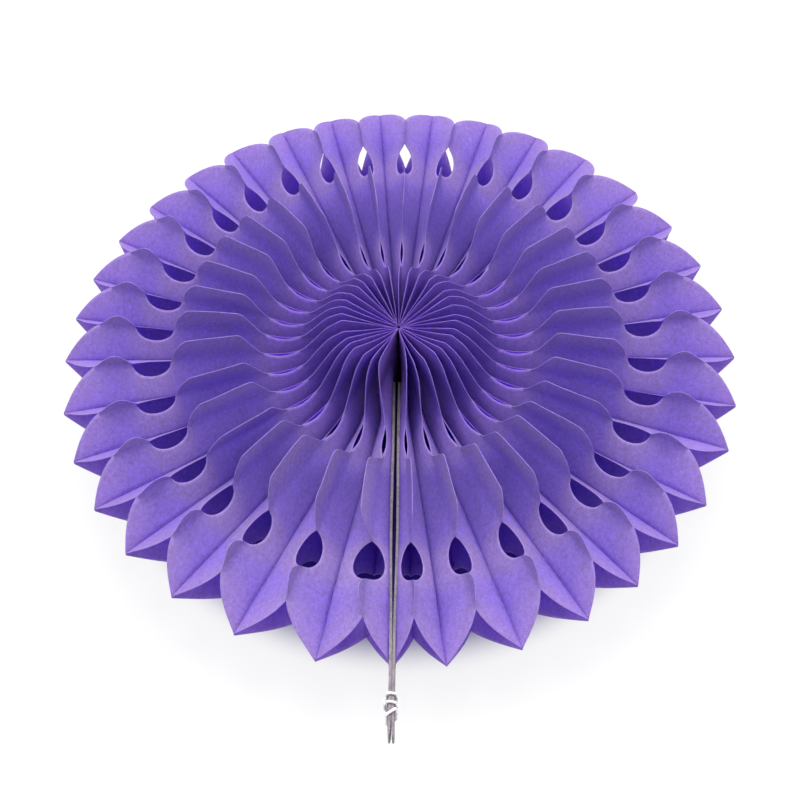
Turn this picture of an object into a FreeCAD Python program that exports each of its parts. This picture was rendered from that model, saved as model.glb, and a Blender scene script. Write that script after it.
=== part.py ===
import FreeCAD, Part
import math
import os

Vector = FreeCAD.Vector

# Paper fan rosette: tissue leaves stand on edge round a hub axis and are glued alternately
# along the mid-plane and along a front and a back line, so they open into a ring of cells.
# The fan lies on its back on z = 0, its hub axis is the Z axis, and its boards point to -Y.

# Fan
fan_radius = 150.0        # hub axis to the pointed tips
cell_openings = [         # degrees between the mid-plane creases, counter-clockwise from the boards
    8.5, 12.0, 11.5, 10.0, 10.0, 9.0, 11.5,
    9.0, 10.0, 10.5, 10.0, 10.0, 10.0, 12.0,
    10.5, 10.0, 10.5, 10.0, 9.5, 9.5, 10.5,
    10.0, 9.5, 9.5, 9.5, 9.0, 9.0, 11.0,
    10.0, 10.0, 10.0, 11.0, 12.0, 13.5, 11.5,
]
boards_angle = -2.2       # degrees from -Y towards +X
paper_wall = 0.12         # one leaf, several times the real tissue
hub_web = 0.5             # the two leaves of a cell are bound together this far at the hub

# Glue lines, as heights over the mid-plane
crease_half_height = 0.8  # half the glue line on the mid-plane
ridge_height = 13.8       # front and back glue lines

# Die-cut edge of a leaf, as a radius from the hub axis and a height over the mid-plane
hub_edge_height = 25.5
shoulder_radius = 24.8
shoulder_height = 32.7
bend_radius = 31.5
bend_height = 28.8
waist_radius = 51.5       # the cut dips under the ridge here and opens a slit
waist_height = 11.4
waist_half_length = 7.0
waist_rise = 3.2
plateau_start = 69.5
plateau_end = 93.5
plateau_height = 28.0
plateau_drop = 0.8
scallop_radius = 109.4    # a round scallop that opens the teardrop hole
scallop_half_length = 8.6
scallop_floor = 8.7
lobe_height = 7.0         # a low lobe over the ridge, between the scallop and the notch
lobe_shape = [(0.10, 0.62), (0.32, 1.0), (0.70, 0.47)]   # shares of its length and height
tip_length = 15.0         # the ridge ends in a notch this far inside the tips
rim_bulge = 1.8           # how far the cut from the notch to the tip stands out of a straight line

# Facets
scallop_steps = 4
rim_steps = 2
touch = 1e-6              # points nearer than this are one point

# Boards and thread
board_thickness = 1.25
board_width = 10.0
board_clearance = 0.3     # inner ends to the leaves that meet at the hub
board_tail = 8.5          # the ends that spread past the thread
board_hub_gap = 2.0       # the boards stand this far apart at the hub and meet at the thread
board_end_gap = 1.2
tie_reach = 11.5          # tips to the first turn of thread
tie_pitch = 3.5
tie_turns = [0.0, -4.0, 18.0]   # degrees that each turn leans
thread_diameter = 1.2
knot_length = 5.0
knot_height = 2.6
knot_chamfer = 0.5

mid_plane = shoulder_height
notch_radius = fan_radius - tip_length
tie_radius = fan_radius + tie_reach
tie_length = tie_pitch * (len(tie_turns) - 1)
degree_scale = 360.0 / sum(cell_openings)
board_stray = math.degrees(math.atan2(board_hub_gap / 2, tie_radius - tie_pitch))
board_offset = (board_thickness + board_hub_gap / 2) * math.cos(math.radians(board_stray))


def radial(angle):
    """Direction in plan, by degrees from -Y towards +X."""
    return Vector(math.sin(math.radians(angle)), -math.cos(math.radians(angle)), 0)


def leaf_outline():
    """The die-cut edge from the hub axis to the tip, as (radius, height) pairs."""
    points = [
        (0.0, hub_edge_height),
        (shoulder_radius, shoulder_height),
        (bend_radius, bend_height),
        (waist_radius - waist_half_length, waist_height + waist_rise),
        (waist_radius, waist_height),
        (waist_radius + waist_half_length, waist_height + waist_rise),
        (plateau_start, plateau_height),
        (plateau_end, plateau_height - plateau_drop),
    ]
    for step in range(scallop_steps + 1):
        turn = math.pi * step / scallop_steps
        radius = scallop_radius - scallop_half_length * math.cos(turn)
        points.append((radius, ridge_height - (ridge_height - scallop_floor) * math.sin(turn)))
    lobe_start = scallop_radius + scallop_half_length
    for along, up in lobe_shape:
        points.append((lobe_start + (notch_radius - lobe_start) * along,
                       ridge_height + lobe_height * up))
    run = tip_length
    fall = ridge_height - crease_half_height
    chord = math.hypot(run, fall)
    for step in range(rim_steps + 1):
        share = step / rim_steps
        bulge = 4 * rim_bulge * share * (1 - share)
        points.append((notch_radius + run * share + bulge * fall / chord,
                       ridge_height - fall * share + bulge * run / chord))
    return points


def split_at_ridge(points):
    """Adds a point wherever the edge crosses the ridge height."""
    result = [points[0]]
    for before, after in zip(points, points[1:]):
        low, high = sorted((before[1], after[1]))
        if low < ridge_height - touch and ridge_height + touch < high:
            share = (ridge_height - before[1]) / (after[1] - before[1])
            result.append((before[0] + share * (after[0] - before[0]), ridge_height))
        result.append(after)
    return result


def clip_start(points, radius):
    """Drops the edge inside a radius and starts it there."""
    outside = [point for point in points if point[0] > radius]
    before = [point for point in points if point[0] <= radius][-1]
    share = (radius - before[0]) / (outside[0][0] - before[0])
    return [(radius, before[1] + share * (outside[0][1] - before[1]))] + outside


def edge_runs(points):
    """Cuts the edge into runs that stay over the ridge (closed) or under it (open)."""
    runs = []
    run = [points[0]]
    for point in points[1:]:
        run.append(point)
        if abs(point[1] - ridge_height) < touch or point is points[-1]:
            runs.append((max(height for _, height in run) > ridge_height + touch, run))
            run = [point]
    return runs


def crease_stops(runs, apex_radius):
    """Where the crease has points: under both ends of each dip, so that no facet folds over."""
    stops = []
    for closed, run in runs[:-1]:
        if not closed:
            stops += [radius - apex_radius for radius in (run[1][0], run[-2][0])]
    return sorted(set(stops)) + [runs[-1][1][-1][0] - apex_radius]


def strip_facets(lower, upper):
    """Triangles between two rows of points that both advance along X."""
    facets = []
    i = 0
    j = 0
    while i < len(lower) - 1 or j < len(upper) - 1:
        step_lower = j == len(upper) - 1
        if not step_lower and i < len(lower) - 1:
            step_lower = lower[i + 1].x <= upper[j + 1].x
        if step_lower:
            facet = [lower[i], lower[i + 1], upper[j]]
            i += 1
        else:
            facet = [lower[i], upper[j + 1], upper[j]]
            j += 1
        if min(a.distanceToPoint(b) for a, b in zip(facet, facet[1:] + facet[:1])) > touch:
            facets.append(facet)
    return facets


def mirrored(facets, across, upward):
    """Copies facets into the other quarters of the cell's cross-section."""
    return [[Vector(p.x, p.y * across, p.z * upward) for p in facet] for facet in facets]


def quarter_facets(half_angle, apex_radius, runs, starts):
    """The facets of one leaf over the mid-plane, in the cell's own frame."""
    slope = math.tan(half_angle)
    stops = crease_stops(runs, apex_radius)

    def crease_row(start, wall):
        return [Vector(x, x * slope - wall, crease_half_height) for x in [start] + stops]

    def edge_point(radius, height, wall):
        x = radius - apex_radius
        climb = (height - crease_half_height) / (ridge_height - crease_half_height)
        return Vector(x, x * slope * (1 - climb) + paper_wall * climb - wall, height)

    def edge_row(start, wall):
        row = [edge_point(start + apex_radius, ridge_height, wall)]
        for closed, run in runs:
            points = run[-1:] if closed else run[1:]
            row += [edge_point(radius, height, wall) for radius, height in points]
        return row

    facets = []
    for start, wall in zip(starts, (0.0, paper_wall)):
        facets += strip_facets(crease_row(start, wall), edge_row(start, wall))
    for closed, run in runs:
        if closed:
            side = [Vector(radius - apex_radius, paper_wall, height) for radius, height in run]
            if side[0].z > ridge_height:
                side.insert(0, Vector(side[0].x, paper_wall, ridge_height))
            facets.append(side)
        else:
            for before, after in zip(run, run[1:]):
                facets.append([edge_point(*before, 0.0), edge_point(*after, 0.0),
                               edge_point(*after, paper_wall), edge_point(*before, paper_wall)])
    return facets


def fin_top_facets(apex_radius, runs):
    """The doubled cut edges over the ridge, across both leaves."""
    facets = []
    for closed, run in runs:
        if not closed:
            continue
        for before, after in zip(run, run[1:]):
            ends = []
            for radius, height in (before, after):
                x = radius - apex_radius
                row = [Vector(x, -paper_wall, height), Vector(x, paper_wall, height)]
                if abs(height - ridge_height) < touch:
                    row.insert(1, Vector(x, 0, height))
                ends.append(row)
            facets.append(ends[0] + ends[1][::-1])
    return facets


def crease_band(slope, stops, wall):
    """The upright glue band on the mid-plane."""
    top = [Vector(x, x * slope - wall, crease_half_height) for x in stops]
    bottom = [Vector(p.x, p.y, -crease_half_height) for p in top]
    return top + bottom[::-1]


def leaf_pair(apex, apex_radius, start_angle, end_angle):
    """Two leaves that share their front and back glue lines, between two creases."""
    half_angle = math.radians(end_angle - start_angle) / 2
    slope = math.tan(half_angle)
    hub_start = paper_wall / slope
    void_start = hub_start + hub_web
    end = fan_radius - apex_radius
    runs = edge_runs(clip_start(split_at_ridge(leaf_outline()), hub_start + apex_radius))

    quarter = quarter_facets(half_angle, apex_radius, runs, (hub_start, void_start))
    facets = []
    for across in (1, -1):
        for upward in (1, -1):
            facets += mirrored(quarter, across, upward)
    for upward in (1, -1):
        facets += mirrored(fin_top_facets(apex_radius, runs), 1, upward)

    stops = crease_stops(runs, apex_radius)
    outer_band = crease_band(slope, [hub_start] + stops, 0.0)
    inner_band = crease_band(slope, [void_start] + stops, paper_wall)
    tip = [Vector(end, end * slope - wall, side * crease_half_height)
           for wall, side in ((0.0, 1), (0.0, -1), (paper_wall, -1), (paper_wall, 1))]
    for across in (1, -1):
        facets += mirrored([outer_band, inner_band, tip], across, 1)

    top = runs[0][1][0][1]
    heights = [top, ridge_height, crease_half_height, -crease_half_height, -ridge_height, -top]
    hub_face = [Vector(hub_start, paper_wall, z) for z in heights]
    hub_face += [Vector(hub_start, -paper_wall, z) for z in reversed(heights)]
    gap = void_start * slope - paper_wall
    web = [Vector(void_start, gap, crease_half_height), Vector(void_start, 0, ridge_height),
           Vector(void_start, -gap, crease_half_height), Vector(void_start, -gap, -crease_half_height),
           Vector(void_start, 0, -ridge_height), Vector(void_start, gap, -crease_half_height)]
    facets += [hub_face, web]

    faces = [Part.Face(Part.makePolygon(facet + facet[:1])) for facet in facets]
    shell = Part.makeShell(faces)
    shell.sewShape()
    solid = Part.makeSolid(shell)
    if solid.Volume < 0:
        solid.reverse()
    middle = (start_angle + end_angle) / 2
    solid.rotate(Vector(), Vector(0, 0, 1), middle - 90)
    solid.translate(apex + Vector(0, 0, mid_plane))
    return solid


def end_cell_apex_radius(opening):
    """Where the outer face of a board meets the next crease, from the hub axis."""
    return board_offset / math.sin(math.radians(opening * degree_scale + board_stray))


def board_plan(side):
    """A board in plan along X, on one side of the boards' plane."""
    start = board_clearance + max(end_cell_apex_radius(cell_openings[0]),
                                  end_cell_apex_radius(cell_openings[-1]))
    tie_end = tie_radius + tie_length + tie_pitch
    inner = [(start, board_gap(start)), (tie_radius - tie_pitch, 0.0),
             (tie_end, 0.0), (tie_end + board_tail, board_end_gap)]
    near = [Vector(x, side * gap / 2, 0) for x, gap in inner]
    far = [Vector(x, side * (gap / 2 + board_thickness), 0) for x, gap in inner]
    return near + far[::-1]


def board_gap(x):
    """The gap between the boards, which closes evenly towards the thread."""
    return board_hub_gap * (1 - x / (tie_radius - tie_pitch))


def place_on_boards(shape):
    """Turns a shape made along X onto the boards' direction."""
    shape.rotate(Vector(), Vector(0, 0, 1), boards_angle - 90)
    shape.translate(Vector(0, 0, mid_plane))
    return shape


def end_board(side):
    """A grey board strip that stands on edge along the mid-plane."""
    plan = board_plan(side)
    board = Part.Face(Part.makePolygon(plan + plan[:1])).extrude(Vector(0, 0, board_width))
    board.translate(Vector(0, 0, -board_width / 2))
    return place_on_boards(board)


def thread_tie(boards):
    """Turns of thread round both boards, with a knot on one side and a crossing on the other."""
    reach = board_thickness + thread_diameter
    height = board_width / 2 + thread_diameter
    parts = []
    for index, lean in enumerate(tie_turns):
        turn = Part.makeBox(thread_diameter, 2 * reach, 2 * height,
                            Vector(-thread_diameter / 2, -reach, -height))
        corners = [edge for edge in turn.Edges if abs(edge.Length - thread_diameter) < 1e-6]
        turn = turn.makeChamfer(thread_diameter / 2, corners)
        turn.rotate(Vector(), Vector(0, 0, 1), lean)
        turn.translate(Vector(tie_radius + index * tie_pitch, 0, 0))
        parts.append(turn)
    crossing = Part.makeBox(tie_length, thread_diameter, thread_diameter,
                            Vector(tie_radius, board_thickness, thread_diameter))
    knot = Part.makeBox(knot_length, thread_diameter, knot_height,
                        Vector(tie_radius + (tie_pitch - knot_length) / 2,
                               -reach - thread_diameter / 2, -knot_height / 2))
    knot = knot.makeChamfer(knot_chamfer, knot.Edges)
    tie = parts[0].fuse(parts[1:] + [crossing, knot])
    for board in boards:
        tie = tie.cut(board)
    return tie


def export(name, shape):
    shape.exportStep(f"parts/{name}.step")
    print(name, "valid", shape.isValid(), "solids", len(shape.Solids),
          "faces", len(shape.Faces), "volume", round(shape.Volume, 1))


def build_leaf_pairs():
    """Every cell between two creases; the first and the last stop at the boards' outer faces."""
    angle = boards_angle
    for index, opening in enumerate(cell_openings):
        start_angle = angle
        end_angle = angle + opening * degree_scale
        angle = end_angle
        apex = Vector()
        if index == 0:
            apex = radial(end_angle) * end_cell_apex_radius(opening)
            start_angle -= board_stray
        if index == len(cell_openings) - 1:
            apex = radial(start_angle) * end_cell_apex_radius(opening)
            end_angle += board_stray
        export(f"leaf_pair_{index + 1:02d}",
               leaf_pair(apex, apex.Length, start_angle, end_angle))


os.makedirs("parts", exist_ok=True)
build_leaf_pairs()
left_board = end_board(-1)
right_board = end_board(1)
export("end_board_left", left_board)
export("end_board_right", right_board)
boards_in_line = [end_board(side) for side in (-1, 1)]
for board in boards_in_line:
    board.translate(Vector(0, 0, -mid_plane))
    board.rotate(Vector(), Vector(0, 0, 1), 90 - boards_angle)
export("tie_thread", place_on_boards(thread_tie(boards_in_line)))
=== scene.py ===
import math
import random
import bpy
import bmesh
from mathutils import Matrix, Vector


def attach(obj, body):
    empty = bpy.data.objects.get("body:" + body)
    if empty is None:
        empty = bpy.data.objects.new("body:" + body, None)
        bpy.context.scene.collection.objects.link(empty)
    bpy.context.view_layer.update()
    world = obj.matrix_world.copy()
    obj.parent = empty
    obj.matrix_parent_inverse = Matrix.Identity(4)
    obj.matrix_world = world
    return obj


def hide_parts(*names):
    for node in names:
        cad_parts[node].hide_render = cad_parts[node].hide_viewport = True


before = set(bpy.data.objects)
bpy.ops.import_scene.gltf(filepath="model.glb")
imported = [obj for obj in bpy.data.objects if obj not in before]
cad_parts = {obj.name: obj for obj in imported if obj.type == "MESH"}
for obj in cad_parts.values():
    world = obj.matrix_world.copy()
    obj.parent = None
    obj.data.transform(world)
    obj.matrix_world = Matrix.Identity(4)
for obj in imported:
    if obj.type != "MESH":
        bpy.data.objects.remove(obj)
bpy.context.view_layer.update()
millimetre = 0.001
print("frame loaded:", len(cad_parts), "nodes")


def toLinear(hexColour):
    values = []
    for start in (0, 2, 4):
        part = int(hexColour[start:start + 2], 16) / 255
        values.append(part / 12.92 if part <= 0.04045 else ((part + 0.055) / 1.055) ** 2.4)
    return (*values, 1.0)


def addNode(tree, kind, settings={}, inputs={}):
    node = tree.nodes.new(kind)
    for name, value in settings.items():
        setattr(node, name, value)
    for name, value in inputs.items():
        if isinstance(value, bpy.types.NodeSocket):
            tree.links.new(value, node.inputs[name])
        else:
            node.inputs[name].default_value = value
    return node


def newMaterial(name):
    material = bpy.data.materials.new(name)
    material.use_nodes = True
    material.node_tree.nodes.clear()
    return material, material.node_tree


def fromHub(tree, place):
    flat = addNode(tree, "ShaderNodeVectorMath", {"operation": "MULTIPLY"}, {
        0: place, 1: (1.0, 1.0, 0.0)}).outputs[0]
    return addNode(tree, "ShaderNodeVectorMath", {"operation": "LENGTH"}, {0: flat}).outputs["Value"]


def addPiece(name, mesh, node):
    piece = bpy.data.objects.new(name, mesh)
    bpy.context.scene.collection.objects.link(piece)
    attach(piece, "root")
    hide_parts(node)
    return piece


# Camera: found from the tips, notches and boards in the photograph.
camera = {
    "place": (0.0, -0.42889, 0.63685),
    "hubHeight": 0.0327,
    "pitch": -1.36,       # degrees, it looks a little below the hub
    "roll": 1.05,
    "lens": 74.0,         # mm
    "sensor": 36.0,
}


def makeCamera():
    place = Vector(camera["place"])
    forward = (Vector((0, 0, camera["hubHeight"])) - place).normalized()
    right = forward.cross(Vector((0, 0, 1))).normalized()
    up = right.cross(forward)
    pitch = Matrix.Rotation(math.radians(camera["pitch"]), 3, right)
    forward = pitch @ forward
    up = pitch @ up
    roll = Matrix.Rotation(math.radians(camera["roll"]), 3, forward)
    axes = Matrix((roll @ right, roll @ up, -forward)).transposed()
    data = bpy.data.cameras.new("camera")
    data.lens = camera["lens"]
    data.sensor_width = camera["sensor"]
    data.clip_start = 0.01
    item = bpy.data.objects.new("camera", data)
    item.matrix_world = Matrix.Translation(place) @ axes.to_4x4()
    bpy.context.scene.collection.objects.link(item)
    bpy.context.scene.camera = item


makeCamera()
print("camera placed")

# Dyed tissue paper: thin, matte and fibrous, so much of the light comes through it.
tissue = {
    "colour": "c3acd0",
    "cloudColour": "b298c6",     # where the dye took more strongly
    "paintedFoldShadeColour": "a587f4",      # painted shade: bluer in the folds, standing in for light that passes several sheets
    "paintedFoldShadeShare": 0.42,
    "paintedFoldShadeRange": (1.5, 14.0),    # mm from the cut
    "paintedHubShadeColour": "9b78cb",    # painted shade: darker towards the hub, where the leaves crowd together and shade each other
    "paintedHubShadeRange": (62.0, 24.0),    # mm from the hub
    "throughColour": "a76bf3",
    "through": 0.54,             # share of the light that passes into the sheet
    "edgeColour": "d2c0f2",
    "edgeShare": 0.5,
    "cutEdge": 0.3,              # mm, the pale rim that the knife leaves
    "fibreLength": 1.5,          # mm
    "fibreRange": (0.3, 0.7),    # of the noise
    "fibreShade": (0.78, 1.2),   # darkest and lightest fibres
    "fibreHeight": 0.1,          # mm
    "cloudSize": 5.0,            # mm
    "roughness": 0.9,
}


def makeTissue():
    material, tree = newMaterial("dyed tissue paper")
    place = addNode(tree, "ShaderNodeTexCoord").outputs["Object"]
    fibres = addNode(tree, "ShaderNodeTexNoise", {}, {
        "Vector": place, "Scale": 1 / (tissue["fibreLength"] * millimetre),
        "Detail": 6.0, "Roughness": 0.7, "Distortion": 0.8}).outputs[0]
    shade = addNode(tree, "ShaderNodeMapRange", {}, {
        "Value": fibres, "From Min": tissue["fibreRange"][0], "From Max": tissue["fibreRange"][1],
        "To Min": tissue["fibreShade"][0], "To Max": tissue["fibreShade"][1]}).outputs[0]
    clouds = addNode(tree, "ShaderNodeTexNoise", {}, {
        "Vector": place, "Scale": 1 / (tissue["cloudSize"] * millimetre), "Detail": 3.0}).outputs[0]
    cut = addNode(tree, "ShaderNodeAttribute", {"attribute_name": "fromCut"}).outputs["Fac"]
    # painted shade: the colour turns bluer deeper in the folds, away from the cut
    paintedFoldShade = addNode(tree, "ShaderNodeMapRange", {}, {
        "Value": cut, "From Min": tissue["paintedFoldShadeRange"][0], "From Max": tissue["paintedFoldShadeRange"][1],
        "To Max": tissue["paintedFoldShadeShare"]}).outputs[0]
    # painted shade: the tissue darkens towards the hub
    paintedHubShade = addNode(tree, "ShaderNodeMapRange", {}, {
        "Value": fromHub(tree, place), "From Min": tissue["paintedHubShadeRange"][0] * millimetre,
        "From Max": tissue["paintedHubShadeRange"][1] * millimetre}).outputs[0]
    pale = addNode(tree, "ShaderNodeMapRange", {}, {
        "Value": cut, "From Min": tissue["cutEdge"], "From Max": 0.0,
        "To Max": tissue["edgeShare"]}).outputs[0]
    # the dye's own clouds and pale cut edges, mixed with painted shade in the folds and near the hub
    dyeAndPaintedShade = toLinear(tissue["colour"])
    for share, colour in ((clouds, "cloudColour"), (paintedFoldShade, "paintedFoldShadeColour"),
                          (paintedHubShade, "paintedHubShadeColour"), (pale, "edgeColour")):
        dyeAndPaintedShade = addNode(tree, "ShaderNodeMix", {"data_type": "RGBA"}, {
            0: share, 6: dyeAndPaintedShade, 7: toLinear(tissue[colour])}).outputs[2]
    front = addNode(tree, "ShaderNodeVectorMath", {"operation": "SCALE"}, {0: dyeAndPaintedShade, "Scale": shade})
    behind = addNode(tree, "ShaderNodeVectorMath", {"operation": "SCALE"}, {
        0: toLinear(tissue["throughColour"])[:3], "Scale": shade})
    bump = addNode(tree, "ShaderNodeBump", {}, {
        "Strength": 0.25, "Distance": tissue["fibreHeight"] * millimetre, "Height": fibres}).outputs[0]
    surface = addNode(tree, "ShaderNodeBsdfPrincipled", {}, {
        "Base Color": front.outputs[0], "Roughness": tissue["roughness"],
        "Specular IOR Level": 0.15, "Normal": bump})
    glow = addNode(tree, "ShaderNodeBsdfTranslucent", {}, {"Color": behind.outputs[0], "Normal": bump})
    sheet = addNode(tree, "ShaderNodeMixShader", {}, {
        0: tissue["through"], 1: surface.outputs[0], 2: glow.outputs[0]})
    addNode(tree, "ShaderNodeOutputMaterial", {}, {"Surface": sheet.outputs[0]})
    return material


# Leaves: each one is die-cut flat, then two are glued along their ridges into a cell.
leaf = {
    "openings": [             # degrees between creases, counter-clockwise from the boards
        8.5, 12.0, 11.5, 10.0, 10.0, 9.0, 11.5,
        9.0, 10.0, 10.5, 10.0, 10.0, 10.0, 12.0,
        10.5, 10.0, 10.5, 10.0, 9.5, 9.5, 10.5,
        10.0, 9.5, 9.5, 9.5, 9.0, 9.0, 11.0,
        10.0, 10.0, 10.0, 11.0, 12.0, 13.5, 11.5],
    "firstCrease": -2.2,      # degrees from -Y towards +X
    "inner": [                # mm, (radius, height, rounding) of the cut from the hub to the plateau
        (0.8, 25.7, 0.0), (24.8, 32.7, 1.2), (31.5, 28.8, 3.0), (42.6, 14.5, 2.0), (51.9, 11.1, 6.5),
        (61.2, 14.5, 2.0), (69.5, 28.4, 2.2), (93.8, 27.5, 1.6), (98.3, 21.5, 2.5), (100.8, 13.8, 0.0)],
    "front": {"ridge": 13.8, "notch": 135.0, "bulge": 1.4},    # ridge: mm from the mid-plane to the glue
    "back": {"ridge": 15.9, "notch": 130.0, "bulge": 0.4},
    "crease": 0.8,            # mm, half the glue line on the mid-plane
    "hole": (109.4, 8.6, 8.7),    # mm, middle, half length, floor
    "lobe": 7.0,              # mm over the ridge
    "lobeShape": (0.8, 1.3),    # powers: under 1 moves its top inwards, over 1 slims its ends
    "tip": 150.0,
    "midPlane": 32.7,
    "cornerSteps": 4,
    "holeSteps": 14,
    "lobeSteps": 12,
    "tipSteps": 10,
    "wallRows": 7,
    "finRows": 4,
    "stride": 2.6,            # mm, the widest column of the mesh
    "narrow": 0.3,            # and the narrowest
    "closest": 0.02,          # mm between two points of the cut
    "pressed": 20.0,          # mm from the hub, no pale rim where the leaves are pressed together
    "pressedFade": 0.03,
    "tipEdge": 0.4,           # mm, more than the pale rim, which the glued tip doesn't have
    "thickness": 0.1,         # mm, drawn thicker than tissue so that its edge shows
    "swayScale": 28.0,        # per metre, the fins' sway
    "buckleScale": 45.0,      # and the walls' buckles
    "seedStep": 3.7,          # metres between the noise of two cells
    "lean": {1: 0.0125, 35: 0.024},    # sideways per mm outwards, the end cells' ridges
    "bow": {                  # mm that the ridges near the hub bow away from the boards' gap
        1: 1.5, 2: 1.3, 3: 1.2, 4: 1.0, 5: 0.6, 35: 4.4, 34: 3.4, 33: 2.6, 32: 1.6, 31: 0.8},
    "finLean": {              # sideways per mm above the ridge, counter-clockwise positive
        1: 0.09, 2: 0.20, 3: 0.22, 4: 0.05, 6: -0.1, 7: -0.16, 8: -0.14, 13: 0.06, 17: -0.08, 21: 0.07,
        24: -0.06, 29: 0.15, 31: 0.28, 33: -0.2, 34: -0.2, 35: -0.36},
    "zones": {                # mm from the hub, each share goes from 0 to 1 between the two
        "bowStart": (2.0, 28.0), "bowEnd": (48.0, 28.0), "outerRing": (52.0, 74.0),
        "onBoard": (0.0, 30.0), "upright": (142.0, 120.0)},
}


def rounded(corners):
    line = [corners[0][:2]]
    for before, here, after in zip(corners, corners[1:], corners[2:]):
        spot = Vector(here[:2])
        ways = [Vector(other[:2]) - spot for other in (before, after)]
        starts = [spot + way.normalized() * min(here[2], way.length / 2) for way in ways]
        for step in range(leaf["cornerSteps"] + 1):
            share = step / leaf["cornerSteps"]
            line.append(tuple(starts[0] * (1 - share) ** 2 + spot * 2 * share * (1 - share)
                              + starts[1] * share ** 2))
    return line + [corners[-1][:2]]


def cutLine(side):
    middle, half, floor = leaf["hole"]
    ridge = side["ridge"]
    points = rounded(leaf["inner"][:-1] + [(middle - half, ridge, 0.0)])
    for step in range(1, leaf["holeSteps"] + 1):    # the round scallop that opens into the hole
        turn = math.pi * step / leaf["holeSteps"]
        points.append((middle - half * math.cos(turn), ridge - (ridge - floor) * math.sin(turn)))
    start = middle + half
    early, slim = leaf["lobeShape"]
    for step in range(1, leaf["lobeSteps"]):
        share = step / leaf["lobeSteps"]
        rise = math.sin(math.pi * share ** early) ** slim
        points.append((start + (side["notch"] - start) * share, ridge + leaf["lobe"] * rise))
    run = leaf["tip"] - side["notch"]
    fall = ridge - leaf["crease"]
    chord = math.hypot(run, fall)
    for step in range(leaf["tipSteps"] + 1):    # from the notch to the tip
        share = step / leaf["tipSteps"]
        out = 4 * side["bulge"] * share * (1 - share)
        points.append((side["notch"] + run * share + out * fall / chord,
                       ridge - fall * share + out * run / chord))
    fine = [points[0]]
    for before, after in zip(points, points[1:]):
        if math.dist(before, after) < leaf["closest"]:
            continue
        count = max(1, math.ceil((after[0] - before[0]) / leaf["stride"]))
        for step in range(1, count + 1):
            fine.append(tuple(a + (b - a) * step / count for a, b in zip(before, after)))
    return fine


def heightAt(line, radius):
    for (before, low), (after, high) in zip(line, line[1:]):
        if radius <= after:
            return low + (high - low) * (radius - before) / (after - before)
    return line[-1][1]


def columnHeights(height, ridge):
    low = min(height, ridge)
    heights = [leaf["crease"] + (low - leaf["crease"]) * step / leaf["wallRows"]
               for step in range(leaf["wallRows"] + 1)]
    heights += [low + (height - low) * step / leaf["finRows"] for step in range(1, leaf["finRows"] + 1)]
    heights.insert(-1, max(heights[-1] - tissue["cutEdge"], heights[-2]))
    return heights


def makeBlank():
    mesh = bpy.data.meshes.new("leafBlank")
    shape = bmesh.new()
    fromCut = shape.verts.layers.float.new("fromCut")
    front, back = cutLine(leaf["front"]), cutLine(leaf["back"])
    radii = [front[0][0]]
    for radius in sorted(point[0] for point in front + back[:-1]):
        if radius - radii[-1] > leaf["narrow"]:
            radii.append(radius)
    radii[-1] = leaf["tip"]
    columns = []
    for radius in radii:
        pressed = max(0.0, leaf["pressed"] - radius) * leaf["pressedFade"]
        column = []
        for sign, line, side in ((1, front, leaf["front"]), (-1, back, leaf["back"])):
            height = heightAt(line, radius)
            half = []
            for value in columnHeights(height, side["ridge"]):
                half.append(shape.verts.new((radius * millimetre, 0, sign * value * millimetre)))
                toTip = leaf["tip"] - radius + leaf["tipEdge"]
                half[-1][fromCut] = min(height - value, toTip) + pressed
            column = half[::-1] + column if sign < 0 else half
        columns.append(column)
    for left, right in zip(columns, columns[1:]):
        for row in range(len(left) - 1):
            shape.faces.new((left[row], right[row], right[row + 1], left[row + 1]))
    bmesh.ops.remove_doubles(shape, verts=shape.verts, dist=leaf["closest"] * millimetre)
    bmesh.ops.dissolve_degenerate(shape, edges=shape.edges, dist=leaf["closest"] / 2 * millimetre)
    shape.to_mesh(mesh)
    shape.free()
    return mesh


cellInputs = {    # metres and radians; what is 0 here is set for each cell
    "Half Angle": 0.0, "Middle Angle": 0.0, "Apex Radius": 0.0, "Apex Angle": 0.0,
    "Hub Bend": 0.0, "Ridge Lean": 0.0, "Hub Bow": 0.0, "Fin Lean": 0.0, "Seed": 0.0,
    "Board Side": 0.0, "Board Shift": 0.0, "Board Turn": 0.0, "Board Bow": 0.0,
    "Mid Plane": leaf["midPlane"] * millimetre,
    "Front Ridge": leaf["front"]["ridge"] * millimetre,
    "Back Ridge": leaf["back"]["ridge"] * millimetre,
    "Crease Height": leaf["crease"] * millimetre,
    "Softness": 0.12,                 # of the wall's bends at the crease and the ridge
    "Glue Gap": 0.06 * millimetre,    # half of it
    "Wall Wave": 0.5 * millimetre,
    "Fin Wave": 1.1 * millimetre,
    "Free Rise": 3.6 * millimetre,    # how far an end cell's leaves stay upright
    "Board Rise": 2.8 * millimetre,   # and the one on the board so much further
}


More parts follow.
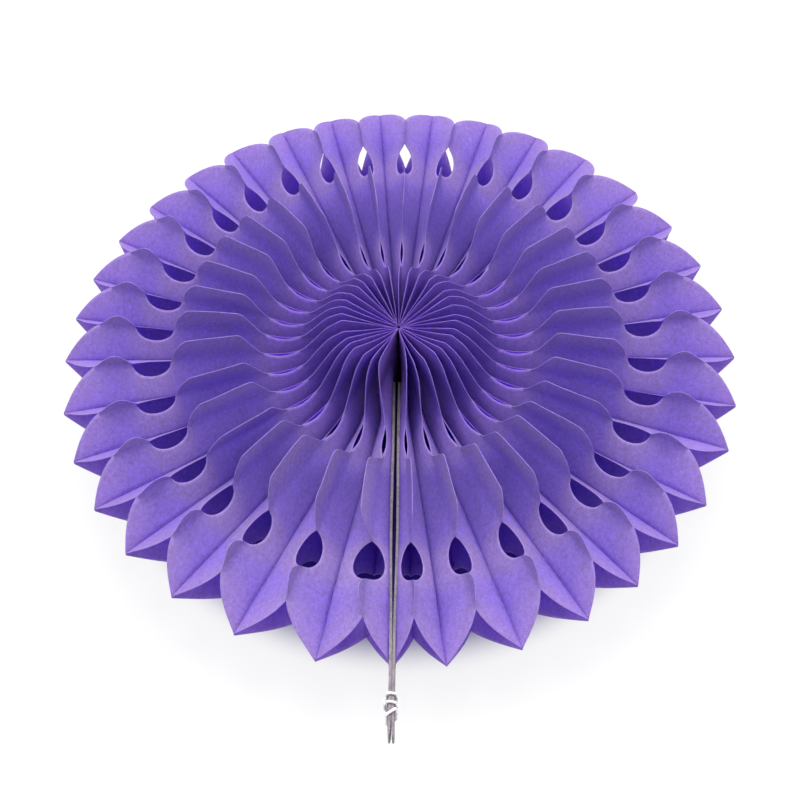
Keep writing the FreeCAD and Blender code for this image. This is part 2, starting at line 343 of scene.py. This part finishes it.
def makeCellTree(material):
    tree = bpy.data.node_groups.new("foldedCell", "GeometryNodeTree")
    tree.interface.new_socket("Geometry", in_out="INPUT", socket_type="NodeSocketGeometry")
    for name, value in cellInputs.items():
        socket = tree.interface.new_socket(name, in_out="INPUT", socket_type="NodeSocketFloat")
        socket.default_value = value
    tree.interface.new_socket("Geometry", in_out="OUTPUT", socket_type="NodeSocketGeometry")
    given = addNode(tree, "NodeGroupInput").outputs
    place = addNode(tree, "GeometryNodeInputPosition").outputs[0]
    parts = addNode(tree, "ShaderNodeSeparateXYZ", {}, {0: place}).outputs
    along = addNode(tree, "ShaderNodeMath", {"operation": "SUBTRACT"}, {
        0: parts[0], 1: given["Apex Radius"]}).outputs[0]
    opened = addNode(tree, "ShaderNodeMath", {"operation": "MAXIMUM"}, {0: along, 1: 0.0}).outputs[0]
    bound = addNode(tree, "ShaderNodeMath", {"operation": "MINIMUM"}, {0: along, 1: 0.0}).outputs[0]
    slope = addNode(tree, "ShaderNodeMath", {"operation": "TANGENT"}, {
        0: given["Half Angle"]}).outputs[0]
    height = addNode(tree, "ShaderNodeMath", {"operation": "ABSOLUTE"}, {0: parts[2]}).outputs[0]
    inFront = addNode(tree, "ShaderNodeMath", {"operation": "GREATER_THAN"}, {
        0: parts[2], 1: 0.0}).outputs[0]
    ridge = addNode(tree, "ShaderNodeMix", {}, {
        0: inFront, 2: given["Back Ridge"], 3: given["Front Ridge"]}).outputs[0]
    shares = {}
    boardZones = {"apartStart": board["bowStart"], "apartEnd": board["bowEnd"]}
    for name, (low, high) in {**leaf["zones"], **boardZones}.items():
        shares[name] = addNode(tree, "ShaderNodeMapRange", {"interpolation_type": "SMOOTHSTEP"}, {
            "Value": parts[0], "From Min": low * millimetre, "From Max": high * millimetre}).outputs[0]
    fourfold = 4.0    # noise less a half, and a share times its rest, stay within a quarter

    # both leaves of a cell sway together over the ridge
    hub = bound
    for factor in (slope, given["Hub Bend"]):
        hub = addNode(tree, "ShaderNodeMath", {"operation": "MULTIPLY"}, {0: hub, 1: factor}).outputs[0]
    above = addNode(tree, "ShaderNodeMapRange", {}, {
        "Value": height, "From Min": ridge, "From Max": leaf["midPlane"] * millimetre,
        "To Max": given["Fin Wave"]}).outputs[0]
    seedPlace = addNode(tree, "ShaderNodeCombineXYZ", {}, {1: given["Seed"]}).outputs[0]
    seeded = addNode(tree, "ShaderNodeVectorMath", {"operation": "ADD"}, {
        0: place, 1: seedPlace}).outputs[0]
    sway = addNode(tree, "ShaderNodeTexNoise", {}, {
        "Vector": seeded, "Scale": leaf["swayScale"], "Detail": 1.0}).outputs[0]
    sway = addNode(tree, "ShaderNodeMath", {"operation": "SUBTRACT"}, {0: sway, 1: 0.5}).outputs[0]
    sway = addNode(tree, "ShaderNodeMath", {"operation": "MULTIPLY"}, {0: sway, 1: above}).outputs[0]
    sway = addNode(tree, "ShaderNodeMath", {"operation": "MULTIPLY_ADD"}, {
        0: sway, 1: fourfold, 2: hub}).outputs[0]

    # beside the boards the ridges lean towards them, and near the hub they bow away from the gap
    bow = shares["bowStart"]
    for factor in (shares["bowEnd"], given["Hub Bow"]):
        bow = addNode(tree, "ShaderNodeMath", {"operation": "MULTIPLY"}, {0: bow, 1: factor}).outputs[0]
    lean = addNode(tree, "ShaderNodeMath", {"operation": "MULTIPLY_ADD"}, {
        0: opened, 1: given["Ridge Lean"], 2: bow}).outputs[0]

    # some fins of the outer ring lean over
    over = addNode(tree, "ShaderNodeMath", {"operation": "SUBTRACT"}, {
        0: parts[2], 1: given["Front Ridge"]}).outputs[0]
    over = addNode(tree, "ShaderNodeMath", {"operation": "MAXIMUM"}, {0: over, 1: 0.0}).outputs[0]
    over = addNode(tree, "ShaderNodeMath", {"operation": "MULTIPLY"}, {
        0: over, 1: given["Fin Lean"]}).outputs[0]
    sway = addNode(tree, "ShaderNodeMath", {"operation": "MULTIPLY_ADD"}, {
        0: over, 1: shares["outerRing"], 2: sway}).outputs[0]

    # the leaf that is glued to a board follows it: the boards sit a little askew and bow apart
    pull = addNode(tree, "ShaderNodeMath", {"operation": "MULTIPLY_ADD"}, {
        0: parts[0], 1: given["Board Turn"], 2: given["Board Shift"]}).outputs[0]
    pull = addNode(tree, "ShaderNodeMath", {"operation": "MULTIPLY"}, {
        0: pull, 1: shares["onBoard"]}).outputs[0]
    apart = shares["apartStart"]
    for factor in (shares["apartEnd"], given["Board Bow"], given["Board Side"]):
        apart = addNode(tree, "ShaderNodeMath", {"operation": "MULTIPLY"}, {
            0: apart, 1: factor}).outputs[0]
    pull = addNode(tree, "ShaderNodeMath", {"operation": "SUBTRACT"}, {0: pull, 1: apart}).outputs[0]

    # in an end cell the leaves stay upright for a while, the one on the board longest
    nearBoard = addNode(tree, "ShaderNodeMath", {"operation": "ABSOLUTE"}, {
        0: given["Board Side"]}).outputs[0]
    upright = addNode(tree, "ShaderNodeMath", {"operation": "MULTIPLY"}, {
        0: nearBoard, 1: shares["upright"]}).outputs[0]
    freeStart = addNode(tree, "ShaderNodeMath", {"operation": "MULTIPLY_ADD"}, {
        0: upright, 1: given["Free Rise"], 2: given["Crease Height"]}).outputs[0]
    leaves = []
    for side in (1.0, -1.0):
        glued = addNode(tree, "ShaderNodeMath", {"operation": "MULTIPLY"}, {
            0: given["Board Side"], 1: side}).outputs[0]
        glued = addNode(tree, "ShaderNodeMath", {"operation": "MAXIMUM"}, {0: glued, 1: 0.0}).outputs[0]
        start = addNode(tree, "ShaderNodeMath", {"operation": "MULTIPLY_ADD"}, {
            0: glued, 1: given["Board Rise"], 2: freeStart}).outputs[0]

        # from there the wall climbs to the ridge, a little softly
        straight, soft = [addNode(tree, "ShaderNodeMapRange", {"interpolation_type": kind}, {
            "Value": height, "From Min": start, "From Max": ridge}).outputs[0]
            for kind in ("LINEAR", "SMOOTHSTEP")]
        climb = addNode(tree, "ShaderNodeMix", {}, {
            0: given["Softness"], 2: straight, 3: soft}).outputs[0]
        rest = addNode(tree, "ShaderNodeMath", {"operation": "SUBTRACT"}, {0: 1.0, 1: climb}).outputs[0]
        spread = opened
        for factor in (slope, rest):
            spread = addNode(tree, "ShaderNodeMath", {"operation": "MULTIPLY"}, {
                0: spread, 1: factor}).outputs[0]
        gap = addNode(tree, "ShaderNodeMath", {"operation": "MULTIPLY_ADD"}, {
            0: climb, 1: 2.0, 2: -1.0}).outputs[0]    # out of the crease, into the ridge
        spread = addNode(tree, "ShaderNodeMath", {"operation": "MULTIPLY_ADD"}, {
            0: gap, 1: given["Glue Gap"], 2: spread}).outputs[0]

        # each leaf buckles by itself between the crease and the ridge
        between = straight
        for factor in (rest, given["Wall Wave"], fourfold):
            between = addNode(tree, "ShaderNodeMath", {"operation": "MULTIPLY"}, {
                0: between, 1: factor}).outputs[0]
        shifted = addNode(tree, "ShaderNodeVectorMath", {"operation": "ADD"}, {
            0: seeded, 1: (0.0, side, 0.0)}).outputs[0]
        buckle = addNode(tree, "ShaderNodeTexNoise", {}, {
            "Vector": shifted, "Scale": leaf["buckleScale"], "Detail": 2.0}).outputs[0]
        buckle = addNode(tree, "ShaderNodeMath", {"operation": "SUBTRACT"}, {
            0: buckle, 1: 0.5}).outputs[0]
        buckle = addNode(tree, "ShaderNodeMath", {"operation": "MULTIPLY_ADD"}, {
            0: buckle, 1: between, 2: spread}).outputs[0]

        moved = addNode(tree, "ShaderNodeMath", {"operation": "MULTIPLY_ADD"}, {
            0: lean, 1: climb, 2: sway}).outputs[0]
        pulled = addNode(tree, "ShaderNodeMath", {"operation": "MULTIPLY"}, {
            0: pull, 1: rest}).outputs[0]
        moved = addNode(tree, "ShaderNodeMath", {"operation": "MULTIPLY_ADD"}, {
            0: pulled, 1: glued, 2: moved}).outputs[0]
        across = addNode(tree, "ShaderNodeMath", {"operation": "MULTIPLY_ADD"}, {
            0: buckle, 1: side, 2: moved}).outputs[0]
        folded = addNode(tree, "ShaderNodeCombineXYZ", {}, {0: along, 1: across, 2: parts[2]}).outputs[0]
        sheet = addNode(tree, "GeometryNodeSetPosition", {}, {
            "Geometry": given["Geometry"], "Position": folded}).outputs[0]
        if side > 0:
            sheet = addNode(tree, "GeometryNodeFlipFaces", {}, {0: sheet}).outputs[0]
        leaves.append(sheet)
    pair = addNode(tree, "GeometryNodeJoinGeometry", {}, {0: leaves[0]})
    tree.links.new(leaves[1], pair.inputs[0])

    # the pair turns into its place round the hub
    turn = addNode(tree, "ShaderNodeCombineXYZ", {}, {2: given["Middle Angle"]}).outputs[0]
    apexX = addNode(tree, "ShaderNodeMath", {"operation": "COSINE"}, {0: given["Apex Angle"]}).outputs[0]
    apexY = addNode(tree, "ShaderNodeMath", {"operation": "SINE"}, {0: given["Apex Angle"]}).outputs[0]
    apex = addNode(tree, "ShaderNodeCombineXYZ", {}, {0: apexX, 1: apexY}).outputs[0]
    apex = addNode(tree, "ShaderNodeVectorMath", {"operation": "SCALE"}, {
        0: apex, "Scale": given["Apex Radius"]}).outputs[0]
    lift = addNode(tree, "ShaderNodeCombineXYZ", {}, {2: given["Mid Plane"]}).outputs[0]
    apex = addNode(tree, "ShaderNodeVectorMath", {"operation": "ADD"}, {0: apex, 1: lift}).outputs[0]
    placed = addNode(tree, "GeometryNodeTransform", {}, {
        "Geometry": pair.outputs[0], "Translation": apex, "Rotation": turn}).outputs[0]
    smooth = addNode(tree, "GeometryNodeSetShadeSmooth", {}, {0: placed}).outputs[0]
    real = addNode(tree, "GeometryNodeRealizeInstances", {}, {0: smooth}).outputs[0]
    painted = addNode(tree, "GeometryNodeSetMaterial", {}, {
        "Geometry": real, "Material": material}).outputs[0]
    addNode(tree, "NodeGroupOutput", {}, {0: painted})
    return tree


def inputIdentifiers(tree):
    return {item.name: item.identifier for item in tree.interface.items_tree if item.in_out == "INPUT"}


def makeCells(material):
    tree = makeCellTree(material)
    identifiers = inputIdentifiers(tree)
    blank = makeBlank()
    scale = 360 / sum(leaf["openings"])
    angle = leaf["firstCrease"]
    last = len(leaf["openings"]) - 1
    stray = math.degrees(math.atan2(board["hubGap"] / 2, board["meet"]))
    offset = (board["thickness"] + board["hubGap"] / 2) * math.cos(math.radians(stray))
    for index, opening in enumerate(leaf["openings"]):
        start, end = angle, angle + opening * scale
        angle = end
        bend = 0
        apexRadius = 0.0
        apexAngle = start
        if index in (0, last):    # the end cells start on the boards' outer faces
            apexRadius = offset / math.sin(math.radians(opening * scale + stray))
            bend = 1 if index == 0 else -1
            apexAngle = end if index == 0 else start
            start -= stray if index == 0 else 0
            end += stray if index == last else 0
        toBoards = -1 if index < last / 2 else 1
        values = {
            "Half Angle": math.radians(end - start) / 2,
            "Middle Angle": math.radians((start + end) / 2 - 90),
            "Apex Radius": apexRadius * millimetre,
            "Apex Angle": math.radians(apexAngle - 90),
            "Hub Bend": float(bend),
            "Ridge Lean": toBoards * leaf["lean"].get(index + 1, 0.0),
            "Hub Bow": -toBoards * leaf["bow"].get(index + 1, 0.0) * millimetre,
            "Fin Lean": leaf["finLean"].get(index + 1, 0.0),
            "Board Side": float(-bend),
            "Board Shift": board["shift"] * millimetre,
            "Board Turn": board["turn"],
            "Board Bow": board["bow"] * millimetre,
            "Seed": leaf["seedStep"] * index,
        }
        maker = bpy.data.objects.new("cellMaker", blank.copy())
        bpy.context.scene.collection.objects.link(maker)
        fold = maker.modifiers.new("fold", "NODES")
        fold.node_group = tree
        for name, value in values.items():
            fold[identifiers[name]] = value
        wall = maker.modifiers.new("wall", "SOLIDIFY")
        wall.thickness = leaf["thickness"] * millimetre
        wall.offset = 0
        maker.data.update()
        bpy.context.view_layer.update()
        ready = maker.evaluated_get(bpy.context.evaluated_depsgraph_get())
        mesh = bpy.data.meshes.new_from_object(ready)
        bpy.data.objects.remove(maker)
        mesh.name = f"leafPair{index + 1:02d}"
        addPiece(f"leafPair{index + 1:02d}", mesh, f"leaf_pair_{index + 1:02d}")


# Boards: grey chipboard strips, guillotined, two of them on edge side by side.
board = {
    "thickness": 1.25,        # mm
    "width": 10.0,
    "start": 15.0,            # mm from the hub
    "meet": 158.0,            # where they touch
    "end": 172.0,             # where they part again
    "tail": 10.0,             # mm
    "hubGap": 1.2,
    "endGap": 0.45,           # mm between the ends of the tails
    "point": 4.0,             # mm, the tails are trimmed to a point over this length
    "pointing": 0.38,         # and by so much on each face
    "slant": 0.18,            # the ends are cut back towards the floor
    "shift": -0.9,            # mm sideways at the hub
    "turn": 0.0105,           # and so much per mm outwards
    "bow": 0.5,               # mm that each one bows out
    "bowStart": (30.0, 90.0),    # mm from the hub, from none to all of it
    "bowEnd": (140.0, 95.0),     # and back
    "faceGap": 0.02,          # mm
    "softEdge": 0.12,
    "ragged": 0.05,
    "rings": 90,
    "seed": 4,
    "darkColour": "655e66",
    "lightColour": "989096",
    "pulpRange": (0.32, 0.68),
    "fibreLength": 1.6,       # mm
    "speckSize": 0.9,
    "speckReach": 0.25,       # share of a speck's cell that is darker
    "speckShade": 0.75,
    "roughness": 0.9,
    "paintedSlotShadeRange": (12.0, 45.0),    # mm from the hub, painted shade: darker towards the hub, where the paper round the slot shades it
    # how dark the painted shade gets at the hub
    "paintedSlotShadeLevel": 0.2,
}


def makeChipboard():
    material, tree = newMaterial("grey chipboard")    # pressed pulp: dull, fibrous and specked
    place = addNode(tree, "ShaderNodeTexCoord").outputs["Object"]
    pulp = addNode(tree, "ShaderNodeTexNoise", {}, {
        "Vector": place, "Scale": 1 / (board["fibreLength"] * millimetre),
        "Detail": 8.0, "Roughness": 0.75}).outputs[0]
    ramp = addNode(tree, "ShaderNodeValToRGB", {}, {0: pulp})
    for index, colour in enumerate(("darkColour", "lightColour")):
        ramp.color_ramp.elements[index].position = board["pulpRange"][index]
        ramp.color_ramp.elements[index].color = toLinear(board[colour])
    specks = addNode(tree, "ShaderNodeTexVoronoi", {}, {
        "Vector": place, "Scale": 1 / (board["speckSize"] * millimetre)}).outputs[0]
    speck = addNode(tree, "ShaderNodeMapRange", {}, {
        "Value": specks, "From Min": 0.0, "From Max": board["speckReach"],
        "To Min": board["speckShade"], "To Max": 1.0}).outputs[0]
    # painted shade: the board darkens towards the hub
    paintedSlotShade = addNode(tree, "ShaderNodeMapRange", {}, {
        "Value": fromHub(tree, place), "From Min": board["paintedSlotShadeRange"][0] * millimetre,
        "From Max": board["paintedSlotShadeRange"][1] * millimetre, "To Min": board["paintedSlotShadeLevel"],
        "To Max": 1.0}).outputs[0]
    shade = addNode(tree, "ShaderNodeMath", {"operation": "MULTIPLY"}, {0: speck, 1: paintedSlotShade}).outputs[0]
    colour = addNode(tree, "ShaderNodeVectorMath", {"operation": "SCALE"}, {
        0: ramp.outputs[0], "Scale": shade}).outputs[0]
    bump = addNode(tree, "ShaderNodeBump", {}, {
        "Strength": 0.4, "Distance": 0.2 * millimetre, "Height": pulp}).outputs[0]
    surface = addNode(tree, "ShaderNodeBsdfPrincipled", {}, {
        "Base Color": colour, "Roughness": board["roughness"], "Normal": bump})
    addNode(tree, "ShaderNodeOutputMaterial", {}, {"Surface": surface.outputs[0]})
    return material


def onBoards(along, across, up):
    turn = math.radians(leaf["firstCrease"] - 90)
    across += board["shift"] + board["turn"] * along
    return Vector((along * math.cos(turn) - across * math.sin(turn),
                   along * math.sin(turn) + across * math.cos(turn),
                   leaf["midPlane"] + up)) * millimetre


def smoothStep(low, high, value):
    share = min(max((value - low) / (high - low), 0.0), 1.0)
    return share * share * (3 - 2 * share)


def boardGap(along):
    if along < board["meet"]:
        apart = smoothStep(*board["bowStart"], along) * smoothStep(*board["bowEnd"], along)
        return board["hubGap"] * (1 - along / board["meet"]) + 2 * board["bow"] * apart
    if along < board["end"]:
        return 0.0
    return board["endGap"] * (along - board["end"]) / board["tail"]


def joinRings(shape, rings, closed=False):
    pairs = list(zip(rings, rings[1:]))
    if closed:
        pairs.append((rings[-1], rings[0]))
    for before, after in pairs:
        for corner in range(len(before)):
            beside = (corner + 1) % len(before)
            shape.faces.new((before[corner], before[beside], after[beside], after[corner]))


def closeEnds(shape, rings):
    shape.faces.new(rings[0])
    shape.faces.new(rings[-1])


def makeBoard(name, node, side, material):
    rng = random.Random(board["seed"] + side)
    shape = bmesh.new()
    rings = []
    finish = board["end"] + board["tail"]
    count = board["rings"]
    soft = board["softEdge"]
    half = board["width"] / 2
    for step in range(count + 1):
        along = board["start"] + (finish - board["start"]) * step / count
        narrowed = board["pointing"] * max(0.0, 1 - (finish - along) / board["point"])
        near = boardGap(along) / 2 + board["faceGap"] + narrowed
        far = boardGap(along) / 2 + board["thickness"] - narrowed
        ring = []
        corners = [(near + soft, -half), (far - soft, -half), (far, soft - half), (far, half - soft),
                   (far - soft, half), (near + soft, half), (near, half - soft), (near, soft - half)]
        for across, up in corners:
            onEdge = abs(up) == half
            ragged = rng.uniform(-board["ragged"], board["ragged"]) if onEdge else 0
            cut = (half - up) * board["slant"] if step == count else 0
            ring.append(shape.verts.new(onBoards(along - cut, side * across, up + ragged)))
        rings.append(ring)
    joinRings(shape, rings)
    closeEnds(shape, rings)
    bmesh.ops.recalc_face_normals(shape, faces=shape.faces)
    mesh = bpy.data.meshes.new(name)
    shape.to_mesh(mesh)
    shape.free()
    mesh.materials.append(material)
    addPiece(name, mesh, node)


chipboard = makeChipboard()
makeBoard("boardLeft", "end_board_left", -1, chipboard)
makeBoard("boardRight", "end_board_right", 1, chipboard)
print("boards cut")
makeCells(makeTissue())
print("leaf pairs folded:", len(leaf["openings"]))

# Thread: white cotton, three plies twisted, wound round the boards and knotted.
thread = {
    "diameter": 1.2,          # mm
    "pitch": 3.0,             # mm for one turn of the plies
    "plyDepth": 0.14,         # share of the radius
    "corners": 12,
    "step": 0.35,             # mm between rings
    "frayedEnd": 0.35,        # share of the thickness at a cut end
    "frayedRings": 3,         # it thickens over so many rings
    "turns": [(163.6, 2.0), (167.2, 8.0), (171.2, -36.0)],    # mm from the hub, degrees of lean
    "bendDown": 1.0,          # mm, a turn bends over the boards' edges within these
    "bendIn": 0.6,
    "arch": 0.15,             # and arches over them by so much
    "knot": [                 # mm: outwards from the first turn, sideways from its side, up
        (1.2, -0.6, 1.2), (2.8, -1.205, 2.28), (4.6, -0.93, 0.84), (4.8, -0.105, 0.0),
        (3.0, 0.06, 1.44), (1.4, -0.325, 2.52), (2.2, -1.04, 3.12), (4.2, -0.71, 2.88)],
    "loop": [                 # the thread that crosses from the first turn to the last
        (-0.5, 0.3, 1.5), (0.5, 0.7, 1.8), (3.0, 0.8, 1.6), (5.5, 0.7, 1.2), (7.0, 0.2, 0.4)],
    "colour": "f2eff2",
    "shadeColour": "cfc8d2",
    "fibreRange": (0.3, 0.6),
    "fibreSize": 0.4,         # mm, drawn coarse enough to show
    "roughness": 0.85,
}


def makeCotton():
    material, tree = newMaterial("white cotton thread")    # soft and matte, fine fibres in its plies
    place = addNode(tree, "ShaderNodeTexCoord").outputs["Object"]
    fibres = addNode(tree, "ShaderNodeTexNoise", {}, {
        "Vector": place, "Scale": 1 / (thread["fibreSize"] * millimetre),
        "Detail": 5.0, "Roughness": 0.8}).outputs[0]
    ramp = addNode(tree, "ShaderNodeValToRGB", {}, {0: fibres})
    for index, colour in enumerate(("shadeColour", "colour")):
        ramp.color_ramp.elements[index].position = thread["fibreRange"][index]
        ramp.color_ramp.elements[index].color = toLinear(thread[colour])
    bump = addNode(tree, "ShaderNodeBump", {}, {
        "Strength": 0.5, "Distance": 0.1 * millimetre, "Height": fibres}).outputs[0]
    surface = addNode(tree, "ShaderNodeBsdfPrincipled", {}, {
        "Base Color": ramp.outputs[0], "Roughness": thread["roughness"], "Normal": bump})
    addNode(tree, "ShaderNodeOutputMaterial", {}, {"Surface": surface.outputs[0]})
    return material


def smoothPath(points, closed):
    count = len(points)
    spans = count if closed else count - 1
    fine = []
    for index in range(spans):
        around = range(index - 1, index + 3)
        if closed:
            before, start, end, after = (points[spot % count] for spot in around)
        else:
            before, start, end, after = (points[min(max(spot, 0), count - 1)] for spot in around)
        parts = max(2, round((end - start).length / thread["step"]))
        for part in range(parts):
            t = part / parts
            fine.append(0.5 * (2 * start + (end - before) * t
                               + (2 * before - 5 * start + 4 * end - after) * t * t
                               + (3 * start - before - 3 * end + after) * t * t * t))
    if not closed:
        fine.append(points[-1])
    return fine


def twistedCord(shape, points, closed):
    path = smoothPath(points, closed)
    count = len(path)
    radius = thread["diameter"] / 2
    normal = None
    rings = []
    travelled = 0.0
    for index, here in enumerate(path):
        ahead = path[(index + 1) % count] if closed or index < count - 1 else here
        behind = path[index - 1] if closed or index > 0 else here
        tangent = (ahead - behind).normalized()
        if normal is None:
            normal = tangent.orthogonal().normalized()
        normal = (normal - tangent * normal.dot(tangent)).normalized()
        other = tangent.cross(normal)
        if index:
            travelled += (here - path[index - 1]).length
        taper = 1.0
        if not closed:
            fromEnd = min(index, count - 1 - index)
            fraying = (1 - thread["frayedEnd"]) * fromEnd / thread["frayedRings"]
            taper = min(1.0, thread["frayedEnd"] + fraying)
        ring = []
        for corner in range(thread["corners"]):
            turn = 2 * math.pi * corner / thread["corners"]
            twist = turn - 2 * math.pi * travelled / thread["pitch"]
            ply = 1 - thread["plyDepth"] * (1 - abs(math.cos(1.5 * twist)))    # three plies
            offset = (normal * math.cos(turn) + other * math.sin(turn)) * radius * ply * taper
            ring.append(shape.verts.new(onBoards(*(here + offset))))
        rings.append(ring)
    joinRings(shape, rings, closed)
    if not closed:
        closeEnds(shape, rings)


def makeThread(material):
    shape = bmesh.new()
    side = board["thickness"] + thread["diameter"] / 2
    top = board["width"] / 2 + thread["diameter"] / 2
    low, wide = top - thread["bendDown"], side - thread["bendIn"]
    arched = top + thread["arch"]
    corners = [    # across and up, round both boards
        (side, -low), (side, 0), (side, low), (wide, top), (0, arched), (-wide, top),
        (-side, low), (-side, 0), (-side, -low), (-wide, -top), (0, -arched), (wide, -top)]
    for along, lean in thread["turns"]:
        shift = math.tan(math.radians(lean))
        ring = [Vector((along + shift * across, across, up)) for across, up in corners]
        twistedCord(shape, ring, True)
    first = thread["turns"][0][0]
    twistedCord(shape, [Vector((first + x, y - side, z)) for x, y, z in thread["knot"]], False)
    twistedCord(shape, [Vector((first + x, y + side, z)) for x, y, z in thread["loop"]], False)
    bmesh.ops.recalc_face_normals(shape, faces=shape.faces)
    for face in shape.faces:
        face.smooth = True
    mesh = bpy.data.meshes.new("tieThread")
    shape.to_mesh(mesh)
    shape.free()
    mesh.materials.append(material)
    addPiece("tieThread", mesh, "tie_thread")


makeThread(makeCotton())
print("thread wound")

# Studio: white floor and background, with a painted shadow on the floor under the fan, soft light from
# all round and a little more from above.
studio = {
    "floorSize": 6.0,         # metres
    "floorColour": "f4f4f4",
    "skyStrength": 0.64,
    "shadowShare": 0.15,      # how much of the object's shadow the white floor shows round it
    "shadeRadius": (0.115, 0.14),    # metres, nearer to the hub the floor shows all of it and has the painted shadow colour
    "shadeColour": "6248b4",  # painted shadow under the fan: a dark violet for where only light that came through the paper falls
    "lamps": [    # place and size in metres, watts
        ((0.0, 0.8, 1.8), 1.4, 40.0),
        ((-1.5, 0.0, 1.6), 1.2, 13.0),
        ((1.5, 0.0, 1.6), 1.2, 13.0)],
}


def seenDirectly(tree):
    kind = addNode(tree, "ShaderNodeLightPath").outputs
    seen = kind["Is Camera Ray"]
    for other in ("Is Glossy Ray", "Is Transmission Ray"):
        seen = addNode(tree, "ShaderNodeMath", {"operation": "MAXIMUM"}, {
            0: seen, 1: kind[other]}).outputs[0]
    return seen


def makeFloor():
    material, tree = newMaterial("white paper sweep")    # matte, bright and without an edge
    white = addNode(tree, "ShaderNodeEmission", {}, {"Color": (1, 1, 1, 1), "Strength": 1.0})
    place = addNode(tree, "ShaderNodeTexCoord").outputs["Object"]
    away = addNode(tree, "ShaderNodeMapRange", {"interpolation_type": "SMOOTHSTEP"}, {
        "Value": fromHub(tree, place), "From Min": studio["shadeRadius"][0],
        "From Max": studio["shadeRadius"][1]}).outputs[0]
    # painted shadow: under the fan the floor's own colour turns to a dark violet shade
    colour = addNode(tree, "ShaderNodeMix", {"data_type": "RGBA"}, {
        0: away, 6: toLinear(studio["shadeColour"]), 7: toLinear(studio["floorColour"])}).outputs[2]
    plain = addNode(tree, "ShaderNodeBsdfDiffuse", {}, {"Color": colour})
    seen = seenDirectly(tree)
    for factor in (away, 1 - studio["shadowShare"]):
        seen = addNode(tree, "ShaderNodeMath", {"operation": "MULTIPLY"}, {
            0: seen, 1: factor}).outputs[0]
    paper = addNode(tree, "ShaderNodeMixShader", {}, {0: seen, 1: plain.outputs[0], 2: white.outputs[0]})
    addNode(tree, "ShaderNodeOutputMaterial", {}, {"Surface": paper.outputs[0]})
    half = studio["floorSize"] / 2
    corners = [(-half, -half, 0), (half, -half, 0), (half, half, 0), (-half, half, 0)]
    mesh = bpy.data.meshes.new("floor")
    mesh.from_pydata(corners, [], [(0, 1, 2, 3)])
    mesh.materials.append(material)
    floor = bpy.data.objects.new("floor", mesh)
    bpy.context.scene.collection.objects.link(floor)


def makeLight():
    world = bpy.data.worlds.new("softRoom")
    world.use_nodes = True
    tree = world.node_tree
    tree.nodes.clear()
    room, white = [addNode(tree, "ShaderNodeBackground", {}, {
        "Color": (1, 1, 1, 1), "Strength": strength}) for strength in (studio["skyStrength"], 1.0)]
    both = addNode(tree, "ShaderNodeMixShader", {}, {
        0: seenDirectly(tree), 1: room.outputs[0], 2: white.outputs[0]})
    addNode(tree, "ShaderNodeOutputWorld", {}, {0: both.outputs[0]})
    bpy.context.scene.world = world
    for index, (place, size, watts) in enumerate(studio["lamps"]):
        data = bpy.data.lights.new(f"softbox{index + 1}", "AREA")
        data.shape = "DISK"
        data.size = size
        data.energy = watts
        lamp = bpy.data.objects.new(f"softbox{index + 1}", data)
        lamp.location = place
        lamp.rotation_euler = (-Vector(place)).to_track_quat("-Z", "Y").to_euler()
        bpy.context.scene.collection.objects.link(lamp)


makeFloor()
makeLight()
bpy.context.scene.view_settings.view_transform = "Standard"
print("studio lit")
